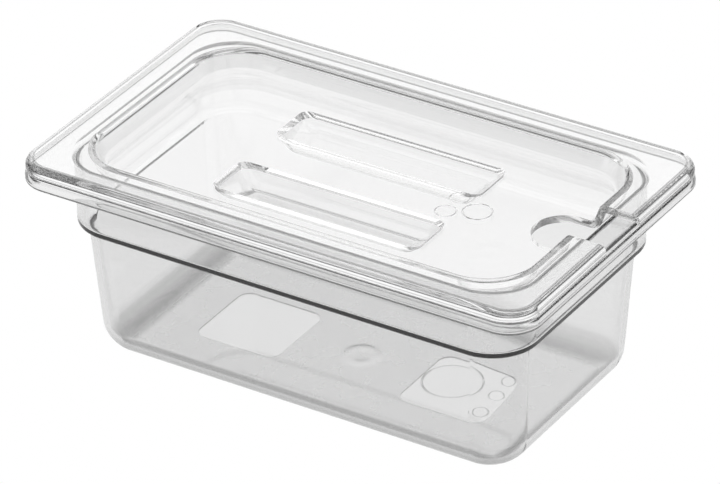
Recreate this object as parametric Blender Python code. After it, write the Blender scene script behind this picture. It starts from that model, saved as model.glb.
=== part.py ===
"""Quarter size deli food pan with its notched lid: two clear polycarbonate mouldings.

The pan is one thin sheet turned into a base, a tapered wall, a stacking shoulder, a flange and a
down-turned lip. The lid lies on the flange. Its sunk panel drops into the opening, two finger
pockets leave a grip bar between them, and a round-ended notch lets a ladle's handle out.

X runs along the pan, towards the notch. Z points up, and the origin is the centre of the base.
All sizes are in metres.
"""

import math

import bmesh
import bpy
from mathutils import Matrix, Vector

# The rim's outline, which every other outline is measured inwards from.
RIM_LENGTH = 0.265
RIM_WIDTH = 0.162
RIM_CORNER = 0.016

# The pan.
PAN_HEIGHT = 0.100
PAN_WALL = 0.0025
LIP_DEPTH = 0.0070
LIP_BEND = 0.0019
LIP_EDGE_RADIUS = 0.0004
FLANGE_WIDTH = 0.0138
OPENING_BEND = 0.0012
OPENING_CORNER = 0.023
SHOULDER_DEPTH = 0.0320
SHOULDER_DRAFT = math.radians(0.8)
SHOULDER_BEND = 0.0015
STEP_WIDTH = 0.00425
STEP_DROP = 0.0020
STEP_BEND = 0.0008
WALL_DRAFT = math.radians(3.6)
WALL_CORNER = 0.020
BASE_BEND = 0.0155
BASE_CORNER = 0.004
GATE_DISH_RADIUS = 0.0110
GATE_DISH_DEPTH = 0.0007
GATE_NUB_RADIUS = 0.0030

# The lid.
SEAT_GAP = 0.0003
LID_WALL = 0.0037
LID_EDGE_INSET = 0.0004
LID_EDGE_RADIUS = 0.0036
SKIRT_ANGLE = math.radians(46)
OPENING_CLEARANCE = 0.0013
PANEL_DEPTH = 0.0098
PANEL_DRAFT = math.radians(20.0)
PANEL_CORNER = 0.027
PANEL_BEND = 0.0025
PANEL_RIM_BEND = 0.0006

# The grip: two pockets in the lid's panel, with the bar between them.
GRIP_BAR_WIDTH = 0.0260
POCKET_LENGTH = 0.1080
POCKET_WIDTH = 0.0262
POCKET_INNER_DEPTH = 0.0100
POCKET_OUTER_DEPTH = 0.0055
POCKET_WALL = 0.0025
POCKET_SIDE_SLOPE = 0.0027
POCKET_END_SLOPE = 0.0080
POCKET_CORNER = 0.0040

# The notch for a ladle's handle, in the lid's +X end.
NOTCH_WIDTH = 0.0294
NOTCH_REACH = 0.0450
NOTCH_OFFSET = 0.0055

# How finely curves are divided.
CORNER_STEPS = 8
ARC_ANGLE = math.radians(18)
ROUND_STEPS = 40

# Plan radius of the innermost ring of a section, which a flat face closes.
CAP_CORNER = 0.002

# Cutters run this far past the faces that they cut.
CUT_MARGIN = 0.010


def rounded(path):
    """Points along a path, with an arc of the given radius at each vertex between its two ends.

    A vertex is (inset, height, radius, centre). Inset is measured inwards from the rim's outline,
    and centre is the inset of the point that the plan's corner turns round.
    """
    points = [(path[0][0], path[0][1], path[0][3])]
    for before, here, after in zip(path, path[1:], path[2:]):
        vertex = Vector(here[:2])
        back = (Vector(before[:2]) - vertex).normalized()
        ahead = (Vector(after[:2]) - vertex).normalized()
        half = back.angle(ahead) / 2
        middle = vertex + (back + ahead).normalized() * here[2] / math.sin(half)
        start = vertex + back * here[2] / math.tan(half) - middle
        end = vertex + ahead * here[2] / math.tan(half) - middle
        turn = start.angle_signed(end)
        steps = max(1, math.ceil(abs(turn) / ARC_ANGLE))
        for step in range(steps + 1):
            arm = start.copy()
            arm.rotate(Matrix.Rotation(-turn * step / steps, 2))
            points.append((*(middle + arm), here[3]))
    points.append((path[-1][0], path[-1][1], path[-1][3]))
    return points


def ring(mesh, inset, height, centre):
    """One rounded rectangle of vertices, anticlockwise seen from above."""
    vertices = []
    for quarter in range(4):
        side_x, side_y = ((1, 1), (-1, 1), (-1, -1), (1, -1))[quarter]
        middle_x = side_x * (RIM_LENGTH / 2 - centre)
        middle_y = side_y * (RIM_WIDTH / 2 - centre)
        for step in range(CORNER_STEPS + 1):
            angle = math.pi / 2 * (quarter + step / CORNER_STEPS)
            x = middle_x + (centre - inset) * math.cos(angle)
            y = middle_y + (centre - inset) * math.sin(angle)
            vertices.append(mesh.verts.new((x, y, height)))
    return vertices


def loft(name, section):
    """A closed solid through the section's rings, from the middle of its underside round to its top."""
    mesh = bmesh.new()
    rings = [ring(mesh, *point) for point in section]
    for inner, outer in zip(rings, rings[1:]):
        for near, far in zip(range(len(inner)), [*range(1, len(inner)), 0]):
            mesh.faces.new((inner[near], inner[far], outer[far], outer[near]))
    mesh.faces.new(reversed(rings[0]))
    mesh.faces.new(rings[-1])
    bmesh.ops.recalc_face_normals(mesh, faces=mesh.faces)
    return place(name, mesh)


def place(name, mesh):
    """Turns a bmesh into an object in the scene."""
    data = bpy.data.meshes.new(name)
    mesh.to_mesh(data)
    mesh.free()
    data.shade_smooth()
    data.set_sharp_from_angle(angle=math.radians(30))
    thing = bpy.data.objects.new(name, data)
    bpy.context.scene.collection.objects.link(thing)
    return thing


def helper(thing):
    """Keeps a cutter or an added block out of renders."""
    thing.hide_render = True
    thing.display_type = "WIRE"
    return thing


def combine(target, tool, operation):
    """Cuts the tool from the target, or joins the tool to it."""
    modifier = target.modifiers.new(tool.name, "BOOLEAN")
    modifier.operation = operation
    modifier.solver = "EXACT"
    modifier.object = helper(tool)


def clear_polycarbonate(name, tint):
    """Moulded clear plastic: smooth, hard and nearly colourless."""
    material = bpy.data.materials.new(name)
    material.use_nodes = True
    shader = material.node_tree.nodes["Principled BSDF"]
    shader.inputs["Base Color"].default_value = (*tint, 1)
    shader.inputs["Metallic"].default_value = 0
    shader.inputs["Roughness"].default_value = 0.04
    shader.inputs["IOR"].default_value = 1.585
    shader.inputs["Transmission Weight"].default_value = 1
    return material


# Insets of the pan's outer faces, and the plan corners' centres.
SHOULDER_TOP_INSET = FLANGE_WIDTH
SHOULDER_BASE_INSET = SHOULDER_TOP_INSET + (SHOULDER_DEPTH - PAN_WALL) * math.tan(SHOULDER_DRAFT)
STEP_HEIGHT = PAN_HEIGHT - SHOULDER_DEPTH
WALL_TOP_INSET = SHOULDER_BASE_INSET + STEP_WIDTH
WALL_TOP_HEIGHT = STEP_HEIGHT - STEP_DROP
WALL_BASE_INSET = WALL_TOP_INSET + WALL_TOP_HEIGHT * math.tan(WALL_DRAFT)
OPENING_CENTRE = SHOULDER_TOP_INSET + OPENING_CORNER
WALL_CENTRE = WALL_TOP_INSET + WALL_CORNER
BASE_EDGE_INSET = WALL_BASE_INSET + BASE_BEND
BASE_CENTRE = BASE_EDGE_INSET + BASE_CORNER


def pan_section():
    """The pan's sheet: its underside from the base out to the lip, then its upper side back in."""
    middle = BASE_CENTRE - CAP_CORNER
    step_slope = math.atan2(STEP_DROP, STEP_WIDTH)
    step_rise = PAN_WALL / math.cos(step_slope) - PAN_WALL * math.tan(step_slope)
    flange_underside = PAN_HEIGHT - PAN_WALL
    lip_height = PAN_HEIGHT - LIP_DEPTH
    return rounded(
        [
            (middle, 0, 0, BASE_CENTRE),
            (WALL_BASE_INSET, 0, BASE_BEND, BASE_CENTRE),
            (WALL_TOP_INSET, WALL_TOP_HEIGHT, STEP_BEND, WALL_CENTRE),
            (SHOULDER_BASE_INSET, STEP_HEIGHT, SHOULDER_BEND, OPENING_CENTRE),
            (SHOULDER_TOP_INSET, flange_underside, OPENING_BEND, OPENING_CENTRE),
            (PAN_WALL, flange_underside, LIP_BEND, RIM_CORNER),
            (PAN_WALL, lip_height, LIP_EDGE_RADIUS, RIM_CORNER),
            (0, lip_height, LIP_EDGE_RADIUS, RIM_CORNER),
            (0, PAN_HEIGHT, LIP_BEND + PAN_WALL, RIM_CORNER),
            (SHOULDER_TOP_INSET + PAN_WALL, PAN_HEIGHT, OPENING_BEND + PAN_WALL, OPENING_CENTRE),
            (SHOULDER_BASE_INSET + PAN_WALL, STEP_HEIGHT + step_rise, STEP_BEND, OPENING_CENTRE),
            (WALL_TOP_INSET + PAN_WALL, WALL_TOP_HEIGHT + step_rise, STEP_BEND + PAN_WALL, WALL_CENTRE),
            (WALL_BASE_INSET + PAN_WALL, PAN_WALL, BASE_BEND - PAN_WALL, BASE_CENTRE),
            (middle, PAN_WALL, 0, BASE_CENTRE),
        ]
    )


def gate_dish():
    """The shallow round dish under the base, with the gate's nub left standing in its middle."""
    mesh = bmesh.new()
    profile = [
        (GATE_NUB_RADIUS, -CUT_MARGIN),
        (GATE_DISH_RADIUS, -CUT_MARGIN),
        (GATE_DISH_RADIUS, 0),
        (GATE_DISH_RADIUS - GATE_DISH_DEPTH, GATE_DISH_DEPTH),
        (GATE_NUB_RADIUS + GATE_DISH_DEPTH, GATE_DISH_DEPTH),
        (GATE_NUB_RADIUS, 0),
    ]
    vertices = [mesh.verts.new((radius, 0, height)) for radius, height in profile]
    edges = [
        mesh.edges.new((here, after)) for here, after in zip(vertices, [*vertices[1:], vertices[0]])
    ]
    bmesh.ops.spin(
        mesh,
        geom=vertices + edges,
        axis=(0, 0, 1),
        angle=math.tau,
        steps=ROUND_STEPS,
        use_merge=True,
    )
    bmesh.ops.remove_doubles(mesh, verts=mesh.verts, dist=0.00001)
    bmesh.ops.recalc_face_normals(mesh, faces=mesh.faces)
    return place("gate_dish", mesh)


def build_pan():
    pan = loft("pan", pan_section())
    combine(pan, gate_dish(), "DIFFERENCE")
    pan.data.materials.append(clear_polycarbonate("pan_polycarbonate", (0.97, 0.97, 0.965)))
    return pan


# Heights and insets of the lid, from the flange and the opening that carry it.
LID_UNDERSIDE = PAN_HEIGHT + SEAT_GAP
LID_TOP = LID_UNDERSIDE + LID_WALL
PANEL_TOP = LID_TOP - PANEL_DEPTH
PANEL_UNDERSIDE = PANEL_TOP - LID_WALL
PANEL_SLANT = math.tan(PANEL_DRAFT)
PLUG_INSET = SHOULDER_TOP_INSET + PAN_WALL + OPENING_CLEARANCE
PLUG_CENTRE = PLUG_INSET + PANEL_CORNER


def lid_section():
    """The lid's section: its underside from the panel out to the edge, then its top back in.

    The edge is a skirt that wraps round the bend of the pan's rim, one seat gap clear of it.
    """
    across_wall = LID_WALL / math.cos(PANEL_DRAFT)
    skirt_bend = LIP_BEND + PAN_WALL + SEAT_GAP
    skirt_turn = LIP_BEND + PAN_WALL - skirt_bend * math.tan(SKIRT_ANGLE / 2)
    skirt_run = skirt_bend * math.tan(SKIRT_ANGLE / 2) + SEAT_GAP
    skirt_inner = skirt_turn - skirt_run * math.cos(SKIRT_ANGLE)
    skirt_height = LID_UNDERSIDE - skirt_run * math.sin(SKIRT_ANGLE)
    top_inset = PLUG_INSET - LID_WALL * PANEL_SLANT + across_wall
    panel_inset = top_inset + PANEL_DEPTH * PANEL_SLANT
    plug_base_inset = PLUG_INSET + PANEL_DEPTH * PANEL_SLANT
    middle = PLUG_CENTRE - CAP_CORNER
    section = [
        (middle, PANEL_UNDERSIDE, 0, PLUG_CENTRE),
        (plug_base_inset, PANEL_UNDERSIDE, PANEL_BEND + LID_WALL, PLUG_CENTRE),
        (PLUG_INSET, LID_UNDERSIDE, PANEL_RIM_BEND, PLUG_CENTRE),
        (skirt_turn, LID_UNDERSIDE, skirt_bend, RIM_CORNER),
        (skirt_inner, skirt_height, SEAT_GAP / 3, RIM_CORNER),
        (LID_EDGE_INSET, skirt_height, SEAT_GAP / 3, RIM_CORNER),
        (LID_EDGE_INSET, LID_TOP, LID_EDGE_RADIUS, RIM_CORNER),
        (top_inset, LID_TOP, PANEL_RIM_BEND + LID_WALL / 2, PLUG_CENTRE),
        (panel_inset, PANEL_TOP, PANEL_BEND, PLUG_CENTRE),
        (middle, PANEL_TOP, 0, PLUG_CENTRE),
    ]
    return rounded(section)


def pocket_block(name, side, wall, rise):
    """A finger pocket's space, or with a wall the block that the pocket is sunk in.

    Its plan narrows towards its floor, which is deeper beside the grip bar than outside. Rise is
    how far it stands above the panel's top.
    """
    half_length = POCKET_LENGTH / 2
    inner = GRIP_BAR_WIDTH / 2
    outer = inner + POCKET_WIDTH
    mesh = bmesh.new()
    corners = []
    for along in (-1, 1):
        for across, depth, slope in (
            (inner, POCKET_INNER_DEPTH, POCKET_SIDE_SLOPE),
            (outer, POCKET_OUTER_DEPTH, -POCKET_SIDE_SLOPE),
        ):
            out = math.copysign(wall, -slope)
            end_slope = POCKET_END_SLOPE / POCKET_INNER_DEPTH
            side_slope = slope / POCKET_INNER_DEPTH
            for height in (rise, -depth - wall):
                x = along * (half_length + wall + end_slope * height)
                y = side * (across + out - side_slope * height)
                corners.append(mesh.verts.new((x, y, PANEL_TOP + height)))
    low_end, high_end = corners[:4], corners[4:]
    for face in (
        (low_end[0], low_end[1], low_end[3], low_end[2]),
        (high_end[0], high_end[2], high_end[3], high_end[1]),
        (low_end[0], low_end[2], high_end[2], high_end[0]),
        (low_end[1], high_end[1], high_end[3], low_end[3]),
        (low_end[0], high_end[0], high_end[1], low_end[1]),
        (low_end[2], low_end[3], high_end[3], high_end[2]),
    ):
        mesh.faces.new(face)
    bmesh.ops.recalc_face_normals(mesh, faces=mesh.faces)
    floor_and_sides = [edge for edge in mesh.edges if min(v.co.z for v in edge.verts) < PANEL_TOP - wall]
    bmesh.ops.bevel(
        mesh,
        geom=floor_and_sides,
        offset=POCKET_CORNER + wall,
        offset_type="OFFSET",
        segments=4,
        profile=0.5,
        affect="EDGES",
        clamp_overlap=True,
        material=-1,
    )
    bmesh.ops.recalc_face_normals(mesh, faces=mesh.faces)
    return place(name, mesh)


def notch_cutter():
    """An upright U: straight out through the lid's end, and fully round at its inner end."""
    radius = NOTCH_WIDTH / 2
    start = RIM_LENGTH / 2 - NOTCH_REACH + radius
    mesh = bmesh.new()
    outline = [(RIM_LENGTH / 2 + CUT_MARGIN, radius)]
    for step in range(ROUND_STEPS // 2 + 1):
        angle = math.pi / 2 + math.pi * step / (ROUND_STEPS // 2)
        outline.append((start + radius * math.cos(angle), radius * math.sin(angle)))
    outline.append((RIM_LENGTH / 2 + CUT_MARGIN, -radius))
    floor = PANEL_UNDERSIDE - CUT_MARGIN
    face = mesh.faces.new([mesh.verts.new((x, NOTCH_OFFSET + y, floor)) for x, y in outline])
    raised = bmesh.ops.extrude_face_region(mesh, geom=[face])["geom"]
    moved = [item for item in raised if isinstance(item, bmesh.types.BMVert)]
    bmesh.ops.translate(mesh, verts=moved, vec=(0, 0, LID_TOP + CUT_MARGIN - floor))
    bmesh.ops.recalc_face_normals(mesh, faces=mesh.faces)
    return place("notch_cutter", mesh)


def build_lid():
    lid = loft("notched_lid", lid_section())
    for name, side in (("front", -1), ("rear", 1)):
        combine(lid, pocket_block(f"{name}_pocket_wall", side, POCKET_WALL, -LID_WALL / 2), "UNION")
    for name, side in (("front", -1), ("rear", 1)):
        combine(lid, pocket_block(f"{name}_pocket_space", side, 0, CUT_MARGIN / 2), "DIFFERENCE")
    combine(lid, notch_cutter(), "DIFFERENCE")
    lid.data.materials.append(clear_polycarbonate("lid_polycarbonate", (0.985, 0.985, 0.98)))
    return lid


for leftover in list(bpy.data.objects):
    bpy.data.objects.remove(leftover, do_unlink=True)

build_pan()
build_lid()
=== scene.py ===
"""Looks of a quarter size deli food pan and its notched lid, in clear moulded polycarbonate.

Metres, X along the pan towards the notch, Z up, and the pan stands on Z = 0.
"""

import math

import bmesh
import bpy
from mathutils import Matrix, Vector


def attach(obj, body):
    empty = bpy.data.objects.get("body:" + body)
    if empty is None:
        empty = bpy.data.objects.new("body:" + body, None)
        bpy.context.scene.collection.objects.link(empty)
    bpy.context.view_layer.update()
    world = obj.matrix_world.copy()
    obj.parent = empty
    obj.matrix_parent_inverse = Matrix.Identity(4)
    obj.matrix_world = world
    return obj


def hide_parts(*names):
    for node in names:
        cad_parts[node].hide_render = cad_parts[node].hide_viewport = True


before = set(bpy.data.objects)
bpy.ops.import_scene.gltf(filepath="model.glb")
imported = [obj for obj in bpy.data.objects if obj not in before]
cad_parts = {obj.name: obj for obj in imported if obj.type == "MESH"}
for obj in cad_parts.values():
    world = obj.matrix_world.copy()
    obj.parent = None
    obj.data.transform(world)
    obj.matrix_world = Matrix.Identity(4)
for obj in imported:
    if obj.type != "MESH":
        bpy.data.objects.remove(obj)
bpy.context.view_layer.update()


# ---------------------------------------------------------------------------------------------
# The pan, injection moulded in clear polycarbonate, 2.5 mm thick. Its flat base bends up into a
# tapered wall, which steps out to the stacking shoulder under a flange with a down-turned lip.
# ---------------------------------------------------------------------------------------------
rim_length = 0.265
rim_width = 0.162
rim_corner = 0.016
corner_steps = 24


def first_ring(mesh, inset, height, centre):
    """A rounded rectangle with a face in it, inset from the rim's outline.

    Centre is the inset of the point that the plan's corner turns round.
    """
    half_step = math.tau / (8 * corner_steps)
    made = bmesh.ops.create_circle(
        mesh,
        cap_ends=True,
        segments=4 * corner_steps,
        radius=(centre - inset) / math.cos(half_step),
        matrix=Matrix.Translation((0, 0, height)) @ Matrix.Rotation(half_step, 4, "Z"),
    )
    for vertex in made["verts"]:
        vertex.co.x += math.copysign(rim_length / 2 - centre, vertex.co.x)
        vertex.co.y += math.copysign(rim_width / 2 - centre, vertex.co.y)
    return mesh.edges[:]


def next_ring(mesh, ring, here, after):
    """Extrudes a ring to the next bend, each corner growing or shrinking about its own centre."""
    grown = bmesh.ops.extrude_edge_only(mesh, edges=ring)["geom"]
    moved = [item for item in grown if isinstance(item, bmesh.types.BMVert)]
    scale = (after[3] - after[0]) / (here[3] - here[0])
    for vertex in moved:
        side = Vector((math.copysign(1, vertex.co.x), math.copysign(1, vertex.co.y)))
        half = Vector((rim_length / 2, rim_width / 2))
        corner = Vector((a * b for a, b in zip(side, half - Vector((here[3], here[3])))))
        arm = (vertex.co.xy - corner) * scale
        corner = Vector((a * b for a, b in zip(side, half - Vector((after[3], after[3])))))
        vertex.co = (*(corner + arm), after[1])
    moved = set(moved)
    return [e for e in grown if isinstance(e, bmesh.types.BMEdge) and moved.issuperset(e.verts)]


def moulded_sheet(mesh, bends, finest):
    """A closed sheet that turns through the bends, from the middle of its underside round to its top.

    A bend is (inset, height, radius, centre). Finest is the angle between the faces of its arc.
    """
    rings = [first_ring(mesh, bends[0][0], bends[0][1], bends[0][3])]
    for here, after in zip(bends, bends[1:]):
        rings.append(next_ring(mesh, rings[-1], here, after))
    bmesh.ops.edgeloop_fill(mesh, edges=rings[-1])
    for before, here, after, ring in zip(bends, bends[1:], bends[2:], rings[1:]):
        arriving = Vector((here[0] - before[0], here[1] - before[1]))
        leaving = Vector((after[0] - here[0], after[1] - here[1]))
        turn = arriving.angle(leaving)
        if here[2] and turn > 0.001:
            bmesh.ops.bevel(
                mesh,
                geom=ring,
                offset=here[2] * math.tan(turn / 2),
                offset_type="OFFSET",
                segments=max(2, math.ceil(turn / finest)),
                profile=0.5,
                affect="EDGES",
                clamp_overlap=False,
                material=-1,
            )
    bmesh.ops.recalc_face_normals(mesh, faces=mesh.faces)


def finished(name, mesh):
    """A piece from a bmesh, with its edges sharp where they turn by more than 30 degrees."""
    data = bpy.data.meshes.new(name)
    mesh.to_mesh(data)
    mesh.free()
    data.shade_smooth()
    data.set_sharp_from_angle(angle=math.radians(30))
    piece = bpy.data.objects.new(name, data)
    bpy.context.scene.collection.objects.link(piece)
    return piece


def cut(piece, tools, operation):
    """Cuts the tools from a piece, or joins them to it, and clears them away."""
    for tool in tools:
        modifier = piece.modifiers.new(tool.name, "BOOLEAN")
        modifier.operation = operation
        modifier.solver = "EXACT"
        modifier.object = tool
    bpy.context.view_layer.update()
    graph = bpy.context.evaluated_depsgraph_get()
    whole = bpy.data.meshes.new_from_object(piece.evaluated_get(graph))
    piece.modifiers.clear()
    spent = piece.data
    piece.data = whole
    whole.name = spent.name
    bpy.data.meshes.remove(spent)
    for tool in tools:
        bpy.data.objects.remove(tool)


def level_faces(piece):
    """Lets the broad faces set the shading, so that flat plastic stays flat beside a bend."""
    piece.data.shade_smooth()
    piece.data.set_sharp_from_angle(angle=math.radians(30))
    weighted = piece.modifiers.new("level_faces", "WEIGHTED_NORMAL")
    weighted.mode = "FACE_AREA"
    weighted.weight = 100
    weighted.keep_sharp = True


pan_height = 0.100
pan_wall = 0.0025
shoulder_top = 0.0138
shoulder_depth = 0.0320
shoulder_draft = math.radians(0.8)
shoulder_base = shoulder_top + (shoulder_depth - pan_wall) * math.tan(shoulder_draft)
step_height = pan_height - shoulder_depth
step_width = 0.00425
step_drop = 0.0020
step_slope = math.atan2(step_drop, step_width)
# How far the step's upper side stands above its underside at either bend.
step_rise = pan_wall / math.cos(step_slope) - pan_wall * math.tan(step_slope)
wall_top = shoulder_base + step_width
wall_height = step_height - step_drop
wall_draft = math.radians(3.6)
wall_base = wall_top + wall_height * math.tan(wall_draft)
base_bend = 0.0155
flat_edge = wall_base + base_bend
lip_height = pan_height - 0.0070
lip_edge = 0.0012
rim_bend = 0.0046
opening_bend = 0.0012
step_bend = 0.0008
arc_angle = math.radians(8)

# The insets of the points that the plan's corners turn round.
opening_centre = shoulder_top + 0.023
wall_centre = wall_top + 0.020
base_centre = flat_edge + 0.004
middle_gap = 0.002
base_middle = base_centre - middle_gap
pan_bends = [
    (base_middle, 0, 0, base_centre),
    (wall_base, 0, base_bend, base_centre),
    (wall_top, wall_height, step_bend, wall_centre),
    (shoulder_base, step_height, 0.0015, opening_centre),
    (shoulder_top, pan_height - pan_wall, opening_bend, opening_centre),
    (pan_wall, pan_height - pan_wall, 0.0008, rim_corner),
    (pan_wall, lip_height, lip_edge, rim_corner),
    (0, lip_height, lip_edge, rim_corner),
    (0, pan_height, rim_bend, rim_corner),
    (shoulder_top + pan_wall, pan_height, opening_bend + pan_wall, opening_centre),
    (shoulder_base + pan_wall, step_height + step_rise, step_bend, opening_centre),
    (wall_top + pan_wall, wall_height + step_rise, step_bend + pan_wall, wall_centre),
    (wall_base + pan_wall, pan_wall, base_bend - pan_wall, base_centre),
    (base_middle, pan_wall, 0, base_centre),
]
pan_mesh = bmesh.new()
moulded_sheet(pan_mesh, pan_bends, arc_angle)
pan = finished("clear_pan", pan_mesh)

round_steps = 64


def turned(name, profile, place):
    """A solid of revolution about an upright axis through the place, from its closed profile."""
    mesh = bmesh.new()
    outline = [mesh.verts.new((place[0] + radius, place[1], height)) for radius, height in profile]
    edges = [mesh.edges.new(pair) for pair in zip(outline, outline[1:] + outline[:1])]
    bmesh.ops.spin(
        mesh,
        geom=outline + edges,
        cent=(place[0], place[1], 0),
        axis=(0, 0, 1),
        angle=math.tau,
        steps=round_steps,
        use_merge=True,
    )
    bmesh.ops.remove_doubles(mesh, verts=mesh.verts, dist=0.00001)
    bmesh.ops.recalc_face_normals(mesh, faces=mesh.faces)
    return finished(name, mesh)


def groove(name, place, radius, tube, height):
    """The tool for a round groove: a thin ring about the place, with its tube at the height."""
    turns = [math.tau * step / 12 for step in range(12)]
    profile = [(radius + tube * math.cos(turn), height + tube * math.sin(turn)) for turn in turns]
    return turned(name, profile, place)


window_length = 0.0435
window_width = 0.0430
window_corner = 0.006
window_depth = 0.0005
window_tool = 0.0030
window_reach = 0.054
window_across = -0.0015


def window(name, side):
    """The tool for one of the two smoother squares that are sunk in the satin base."""
    mesh = bmesh.new()
    bmesh.ops.create_cube(mesh, size=1)
    bmesh.ops.scale(mesh, verts=mesh.verts, vec=(window_length, window_width, window_tool))
    centre = (side * window_reach, window_across, window_depth - window_tool / 2)
    bmesh.ops.translate(mesh, verts=mesh.verts, vec=centre)
    bmesh.ops.bevel(
        mesh,
        geom=[e for e in mesh.edges if abs(e.verts[0].co.z - e.verts[1].co.z) > window_tool / 2],
        offset=window_corner,
        offset_type="OFFSET",
        segments=10,
        profile=0.5,
        affect="EDGES",
        clamp_overlap=True,
        material=-1,
    )
    return finished(name, mesh)


# The mould's gate leaves a shallow round dish under the base, with a nub in its middle.
nub_radius = 0.0030
dish_radius = 0.0110
dish_depth = 0.0007
tool_drop = 0.002
dish_profile = [
    (nub_radius, -tool_drop),
    (dish_radius, -tool_drop),
    (dish_radius, 0),
    (dish_radius - 0.0025, dish_depth),
    (nub_radius + 0.0015, dish_depth),
    (nub_radius, 0),
]
cut(
    pan,
    [
        turned("gate_dish", dish_profile, (0, 0)),
        window("left_window", -1),
        window("right_window", 1),
    ],
    "DIFFERENCE",
)
# Plain rings stand in for the marks in the right square: a large one, and three small ones in a
# row across the pan.
mark_tube = 0.0005
small_mark_tube = 0.0004
small_mark_radius = 0.0040
small_mark_along = 0.0700
base_mark_height = 0.0003
base_marks = [groove("large_mark", (0.0468, 0.0015), 0.01335, mark_tube, base_mark_height)]
for name, across in (("rear_mark", 0.0150), ("middle_mark", 0.0016), ("front_mark", -0.0140)):
    spot = (small_mark_along, across)
    base_marks.append(groove(name, spot, small_mark_radius, small_mark_tube, base_mark_height))
cut(pan, base_marks, "DIFFERENCE")
level_faces(pan)


def moulded_finish_and_painted_shade():
    """A satin base and lip, painted shade on edges, base and bottom bend, and faint waves.

    The plastic is darker in all those places, which is painted shade, but rougher only on the base
    and the lip, and its normal waves a little everywhere.
    """
    group = bpy.data.node_groups.new("moulded_finish_and_painted_shade", "ShaderNodeTree")
    nodes, links = group.nodes, group.links
    for name, kind in (("Tint", "Color"), ("Roughness", "Float"), ("Normal", "Vector")):
        group.interface.new_socket(name, in_out="OUTPUT", socket_type=f"NodeSocket{kind}")
    result = nodes.new("NodeGroupOutput")
    place = nodes.new("ShaderNodeTexCoord")
    parts = nodes.new("ShaderNodeSeparateXYZ")
    links.new(place.outputs["Object"], parts.inputs[0])
    x, y, z = parts.outputs

    def maths(operation, first, second=0.0):
        node = nodes.new("ShaderNodeMath")
        node.operation = operation
        for plug, value in zip(node.inputs, (first, second)):
            if isinstance(value, (int, float)):
                plug.default_value = value
            else:
                links.new(value, plug)
        return node.outputs[0]

    def noise(scale, detail):
        node = nodes.new("ShaderNodeTexNoise")
        node.inputs["Scale"].default_value = scale
        node.inputs["Detail"].default_value = detail
        links.new(place.outputs["Object"], node.inputs["Vector"])
        return node.outputs[0]

    def past(inset):
        """How far x and y lie outside the rectangle that is the inset within the rim."""
        out_x = maths("SUBTRACT", maths("ABSOLUTE", x), rim_length / 2 - inset)
        out_y = maths("SUBTRACT", maths("ABSOLUTE", y), rim_width / 2 - inset)
        return out_x, out_y

    def distance(first, second):
        squares = maths("MULTIPLY", first, first), maths("MULTIPLY", second, second)
        return maths("SQRT", maths("ADD", *squares))

    # How far a point lies from the rectangle that the rim's corners turn round.
    reach = distance(*(maths("MAXIMUM", out, 0) for out in past(rim_corner)))

    def outside(inset):
        """Where a point lies between the rim's outline and the inset."""
        return maths("GREATER_THAN", reach, rim_corner - inset)

    # Painted shade on the lip's lower edge and on the bend of the lid's edge, and a painted dark line
    # where that bend ends above.
    lip = maths("MULTIPLY", maths("LESS_THAN", z, lip_height + 0.0006), outside(0.0030))
    lid_bend_painted_shade = maths("MULTIPLY", maths("GREATER_THAN", z, pan_height + 0.0008), outside(0.0040))
    painted_dark_line = maths("MULTIPLY", outside(0.0046), maths("LESS_THAN", reach, rim_corner - 0.0038))
    painted_dark_line = maths("MULTIPLY", painted_dark_line, maths("GREATER_THAN", z, pan_height + 0.0030))
    # Painted shadow of the pan on the table beneath: the flat base with the gate's dish, and more
    # faintly the two squares. The same mask gives the base its satin roughness.
    dish = maths("LESS_THAN", distance(x, y), dish_radius + 0.0005)
    dish = maths("MULTIPLY", dish, maths("LESS_THAN", z, dish_depth + 0.0003))
    base = maths("MAXIMUM", maths("LESS_THAN", z, 0.0003), dish)
    squares = maths("MULTIPLY", maths("LESS_THAN", z, window_depth + 0.0002), 0.45)
    base = maths("MAXIMUM", base, squares)
    # Painted contact shadow on the rounded bottom edge, uneven, which fades out upwards and towards
    # the flat base.
    low = maths("MAXIMUM", maths("SUBTRACT", 1, maths("DIVIDE", z, 0.012)), 0)
    outward = maths("MULTIPLY", maths("MAXIMUM", *past(flat_edge)), 150)
    bend = maths("MULTIPLY", low, maths("MAXIMUM", maths("MINIMUM", outward, 1), 0))
    painted_contact_shadow = maths("MULTIPLY", bend, maths("ADD", 0.65, maths("MULTIPLY", noise(900, 2), 0.3)))

    # The tint is white less the painted shade and painted shadow of every mask.
    shade = maths("SUBTRACT", 1, painted_contact_shadow)
    for mask, darkness in ((lip, 0.85), (lid_bend_painted_shade, 0.35), (painted_dark_line, 0.6), (base, 0.2)):
        shade = maths("SUBTRACT", shade, maths("MULTIPLY", mask, darkness))
    tint = nodes.new("ShaderNodeCombineColor")
    for plug in tint.inputs:
        links.new(shade, plug)
    links.new(tint.outputs[0], result.inputs["Tint"])

    rough = maths("ADD", 0.01, maths("MULTIPLY", noise(60, 3), 0.03))
    for mask, satin in ((lip, 0.4), (base, 0.25)):
        rough = maths("ADD", rough, maths("MULTIPLY", mask, satin))
    links.new(rough, result.inputs["Roughness"])

    bump = nodes.new("ShaderNodeBump")
    bump.inputs["Strength"].default_value = 0.15
    bump.inputs["Distance"].default_value = 0.0002
    links.new(noise(18, 1), bump.inputs["Height"])
    links.new(bump.outputs[0], result.inputs["Normal"])
    return group


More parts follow.
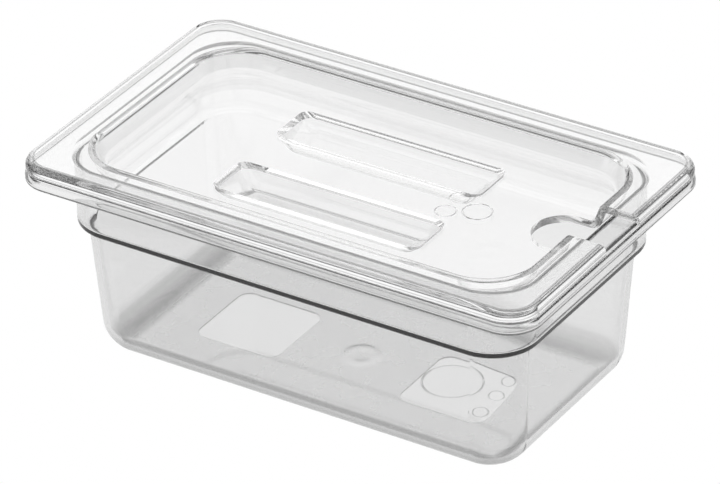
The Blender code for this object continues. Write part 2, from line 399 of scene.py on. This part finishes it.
def clear_polycarbonate(name, greyness):
    """Polished clear plastic that turns greyer with the length of the light's way through it."""
    material = bpy.data.materials.new(name)
    material.use_nodes = True
    nodes, links = material.node_tree.nodes, material.node_tree.links
    shader = nodes["Principled BSDF"]
    finish = nodes.new("ShaderNodeGroup")
    finish.node_tree = bpy.data.node_groups.get("moulded_finish_and_painted_shade") or moulded_finish_and_painted_shade()
    # The base colour is the tint with the painted shade.
    links.new(finish.outputs["Tint"], shader.inputs["Base Color"])
    links.new(finish.outputs["Roughness"], shader.inputs["Roughness"])
    links.new(finish.outputs["Normal"], shader.inputs["Normal"])
    shader.inputs["Metallic"].default_value = 0
    shader.inputs["IOR"].default_value = 1.585
    shader.inputs["Transmission Weight"].default_value = 1
    absorption = nodes.new("ShaderNodeVolumeAbsorption")
    absorption.inputs["Color"].default_value = (0.0, 0.0, 0.0, 1)
    absorption.inputs["Density"].default_value = greyness
    links.new(absorption.outputs["Volume"], nodes["Material Output"].inputs["Volume"])
    return material


pan.data.materials.clear()
pan.data.materials.append(clear_polycarbonate("pan_polycarbonate", 50))
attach(pan, "pan")
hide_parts("pan")


# ---------------------------------------------------------------------------------------------
# The lid. One moulding, 3.7 mm thick, that lies on the flange. Its panel is sunk 9.8 mm, two
# finger pockets leave the grip bar between them, and a round-ended notch lets a ladle out.
# ---------------------------------------------------------------------------------------------
lid_wall = 0.0037
lid_gap = 0.0003
lid_underside = pan_height + lid_gap
lid_top = lid_underside + lid_wall
panel_depth = 0.0098
panel_top = lid_top - panel_depth
panel_underside = panel_top - lid_wall
panel_draft = math.radians(20)
panel_slant = math.tan(panel_draft)
panel_bend = 0.0025
recess_bend = 0.0006
plug_top = shoulder_top + pan_wall + 0.0013
plug_centre = plug_top + 0.027
plug_middle = plug_centre - middle_gap
recess_top = plug_top - lid_wall * panel_slant + lid_wall / math.cos(panel_draft)
# The lid's edge wraps down round the bend of the pan's rim, clear of it by the same gap.
lid_edge = 0.0004
skirt_bend = rim_bend + lid_gap
skirt_angle = math.radians(46)
skirt_turn = rim_bend - skirt_bend * math.tan(skirt_angle / 2)
skirt_run = skirt_bend * math.tan(skirt_angle / 2) + lid_gap
skirt_inner = skirt_turn - skirt_run * math.cos(skirt_angle)
skirt_height = lid_underside - skirt_run * math.sin(skirt_angle)
lid_bends = [
    (plug_middle, panel_underside, 0, plug_centre),
    (plug_top + panel_depth * panel_slant, panel_underside, panel_bend + lid_wall, plug_centre),
    (plug_top, lid_underside, recess_bend, plug_centre),
    (skirt_turn, lid_underside, skirt_bend, rim_corner),
    (skirt_inner, skirt_height, 0.0001, rim_corner),
    (lid_edge, skirt_height, 0.0002, rim_corner),
    (lid_edge, lid_top, 0.0036, rim_corner),
    (recess_top, lid_top, recess_bend + lid_wall / 2, plug_centre),
    (recess_top + panel_depth * panel_slant, panel_top, panel_bend, plug_centre),
    (plug_middle, panel_top, 0, plug_centre),
]
lid_mesh = bmesh.new()
moulded_sheet(lid_mesh, lid_bends, arc_angle)
lid = finished("clear_lid", lid_mesh)

bar_width = 0.026
pocket_length = 0.108
pocket_width = 0.0262
pocket_wall = 0.0025
pocket_inner_depth = 0.0100
pocket_outer_depth = 0.0055
pocket_corner = 0.0040
pocket_side_slope = 0.27
pocket_end_slope = 0.8


def pocket(name, side, wall, rise):
    """A finger pocket's space, or with a wall the block that it is sunk in, deeper beside the bar."""
    mesh = bmesh.new()
    bmesh.ops.create_cube(mesh, size=2)
    for vertex in mesh.verts:
        along, outer, top = vertex.co.x, vertex.co.y > 0, vertex.co.z > 0
        depth = pocket_outer_depth if outer else pocket_inner_depth
        height = rise if top else -depth - wall
        widening = wall + pocket_side_slope * height
        edge = pocket_width + widening if outer else -widening
        vertex.co.x = along * (pocket_length / 2 + wall + pocket_end_slope * height)
        vertex.co.y = side * (bar_width / 2 + edge)
        vertex.co.z = panel_top + height
    mesh.normal_update()
    bmesh.ops.recalc_face_normals(mesh, faces=mesh.faces)
    bmesh.ops.bevel(
        mesh,
        geom=[e for e in mesh.edges if min(v.co.z for v in e.verts) < panel_top - wall],
        offset=pocket_corner + wall,
        offset_type="OFFSET",
        segments=8,
        profile=0.5,
        affect="EDGES",
        clamp_overlap=True,
        material=-1,
    )
    bmesh.ops.recalc_face_normals(mesh, faces=mesh.faces)
    return finished(name, mesh)


cut(
    lid,
    [
        pocket("front_pocket_wall", -1, pocket_wall, -lid_wall / 2),
        pocket("rear_pocket_wall", 1, pocket_wall, -lid_wall / 2),
    ],
    "UNION",
)
cut(
    lid,
    [
        pocket("front_pocket_space", -1, 0, 0.005),
        pocket("rear_pocket_space", 1, 0, 0.005),
    ],
    "DIFFERENCE",
)

notch_radius = 0.0147
notch_reach = 0.045
notch_start = rim_length / 2 - notch_reach + notch_radius
notch_across = 0.0055
notch_mesh = bmesh.new()
notch_end = bmesh.ops.create_circle(
    notch_mesh,
    cap_ends=True,
    segments=96,
    radius=notch_radius,
    matrix=Matrix.Translation((notch_start, notch_across, panel_underside - 0.01)),
)
# Half of the round end is drawn out past the lid's edge, and the whole is raised through the lid.
for vertex in notch_end["verts"]:
    if vertex.co.x > notch_start + 0.0001:
        vertex.co.x += 0.05
grown = bmesh.ops.extrude_face_region(notch_mesh, geom=notch_mesh.faces[:])
raised = [item for item in grown["geom"] if isinstance(item, bmesh.types.BMVert)]
bmesh.ops.translate(notch_mesh, verts=raised, vec=(0, 0, 0.04))
bmesh.ops.recalc_face_normals(notch_mesh, faces=notch_mesh.faces)
cut(lid, [finished("notch_space", notch_mesh)], "DIFFERENCE")

# Plain rings stand in for the marks beside the grip bar's end.
lid_mark_height = panel_top + 0.0003
cut(
    lid,
    [
        groove("lid_large_mark", (0.0605, 0.0015), 0.0067, mark_tube, lid_mark_height),
        groove("lid_front_mark", (0.0480, -0.0050), 0.00475, mark_tube, lid_mark_height),
        groove("lid_rear_mark", (0.0476, 0.0080), 0.0045, mark_tube, lid_mark_height),
    ],
    "DIFFERENCE",
)
level_faces(lid)

lid.data.materials.clear()
lid.data.materials.append(clear_polycarbonate("lid_polycarbonate", 2))
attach(lid, "lid")
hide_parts("notched_lid")


# ---------------------------------------------------------------------------------------------
# The studio: a white table in a white room with no lamps. Room and table light the object, a dark
# band low in the room draws its edges, and the camera sees both as plain white.
# ---------------------------------------------------------------------------------------------
table_mesh = bmesh.new()
bmesh.ops.create_grid(
    table_mesh, x_segments=1, y_segments=1, size=6, matrix=Matrix.Translation((0, 0, -0.0003))
)
table = finished("table", table_mesh)
paper = bpy.data.materials.new("white_table")
paper.use_nodes = True
nodes, links = paper.node_tree.nodes, paper.node_tree.links
paper_shader = nodes["Principled BSDF"]
paper_shader.inputs["Base Color"].default_value = (0.9, 0.9, 0.9, 1)
paper_shader.inputs["Roughness"].default_value = 0.9
glow = nodes.new("ShaderNodeEmission")
# The table glows plain white to the camera and to glossy rays, so the object's shadow on it isn't
# seen. Rays through plastic count as glossy too, so their own share below changes nothing.
ray = nodes.new("ShaderNodeLightPath")
plain = nodes.new("ShaderNodeMath")
plain.operation = "MAXIMUM"
through = nodes.new("ShaderNodeMath")
through.operation = "MULTIPLY"
through.inputs[1].default_value = 0.1
seen = nodes.new("ShaderNodeMath")
seen.operation = "MAXIMUM"
mixed = nodes.new("ShaderNodeMixShader")
links.new(ray.outputs["Is Camera Ray"], plain.inputs[0])
links.new(ray.outputs["Is Glossy Ray"], plain.inputs[1])
links.new(ray.outputs["Is Transmission Ray"], through.inputs[0])
links.new(plain.outputs[0], seen.inputs[0])
links.new(through.outputs[0], seen.inputs[1])
links.new(seen.outputs[0], mixed.inputs[0])
links.new(paper_shader.outputs["BSDF"], mixed.inputs[1])
links.new(glow.outputs["Emission"], mixed.inputs[2])
links.new(mixed.outputs["Shader"], nodes["Material Output"].inputs["Surface"])
table.data.materials.append(paper)

world = bpy.data.worlds.new("white_room")
bpy.context.scene.world = world
world.use_nodes = True
nodes, links = world.node_tree.nodes, world.node_tree.links
direction = nodes.new("ShaderNodeTexCoord")
parts = nodes.new("ShaderNodeSeparateXYZ")
sky = nodes.new("ShaderNodeValToRGB")
# Brightness by the sine of the height above the horizon, with the dark band from 0.08 to 0.34.
stops = [(0.0, 1.0), (0.05, 1.0), (0.08, 0.1), (0.34, 0.1), (0.44, 1.3), (1.0, 1.3)]
while len(sky.color_ramp.elements) < len(stops):
    sky.color_ramp.elements.new(0.5)
for element, (place, value) in zip(sky.color_ramp.elements, stops):
    element.position = place
    element.color = (value, value, value, 1)
ray = nodes.new("ShaderNodeLightPath")
to_camera = nodes.new("ShaderNodeMix")
to_camera.data_type = "RGBA"
to_camera.inputs["B"].default_value = (1, 1, 1, 1)
links.new(direction.outputs["Generated"], parts.inputs[0])
links.new(parts.outputs["Z"], sky.inputs[0])
links.new(ray.outputs["Is Camera Ray"], to_camera.inputs[0])
links.new(sky.outputs["Color"], to_camera.inputs["A"])
links.new(to_camera.outputs["Result"], nodes["Background"].inputs["Color"])
nodes["Background"].inputs["Strength"].default_value = 1.0

bpy.context.scene.view_settings.view_transform = "Standard"
# Light runs a long way inside clear sheets before it leaves them.
bounces = 48
bpy.context.scene.cycles.max_bounces = bounces
bpy.context.scene.cycles.transmission_bounces = bounces
bpy.context.scene.cycles.glossy_bounces = bounces

azimuth = math.radians(32.67)
elevation = math.radians(31.13)
roll = math.radians(-1.149)
camera_distance = 2.6153
aim = Vector((0, 0, 0.05))
camera_left = 0.000522
camera_rise = 0.009322
back = Vector(
    (
        math.sin(azimuth) * math.cos(elevation),
        -math.cos(azimuth) * math.cos(elevation),
        math.sin(elevation),
    )
)
level = Vector((math.cos(azimuth), math.sin(azimuth), 0))
upright = back.cross(level)
right = math.cos(roll) * level + math.sin(roll) * upright
above = math.cos(roll) * upright - math.sin(roll) * level
camera_data = bpy.data.cameras.new("camera")
camera_data.sensor_width = 36
camera_data.lens = 291.33
camera_data.clip_end = 50
camera = bpy.data.objects.new("camera", camera_data)
camera.location = aim + back * camera_distance - right * camera_left + above * camera_rise
camera.rotation_mode = "QUATERNION"
camera.rotation_quaternion = Matrix((right, above, back)).transposed().to_quaternion()
bpy.context.scene.collection.objects.link(camera)
bpy.context.scene.camera = camera
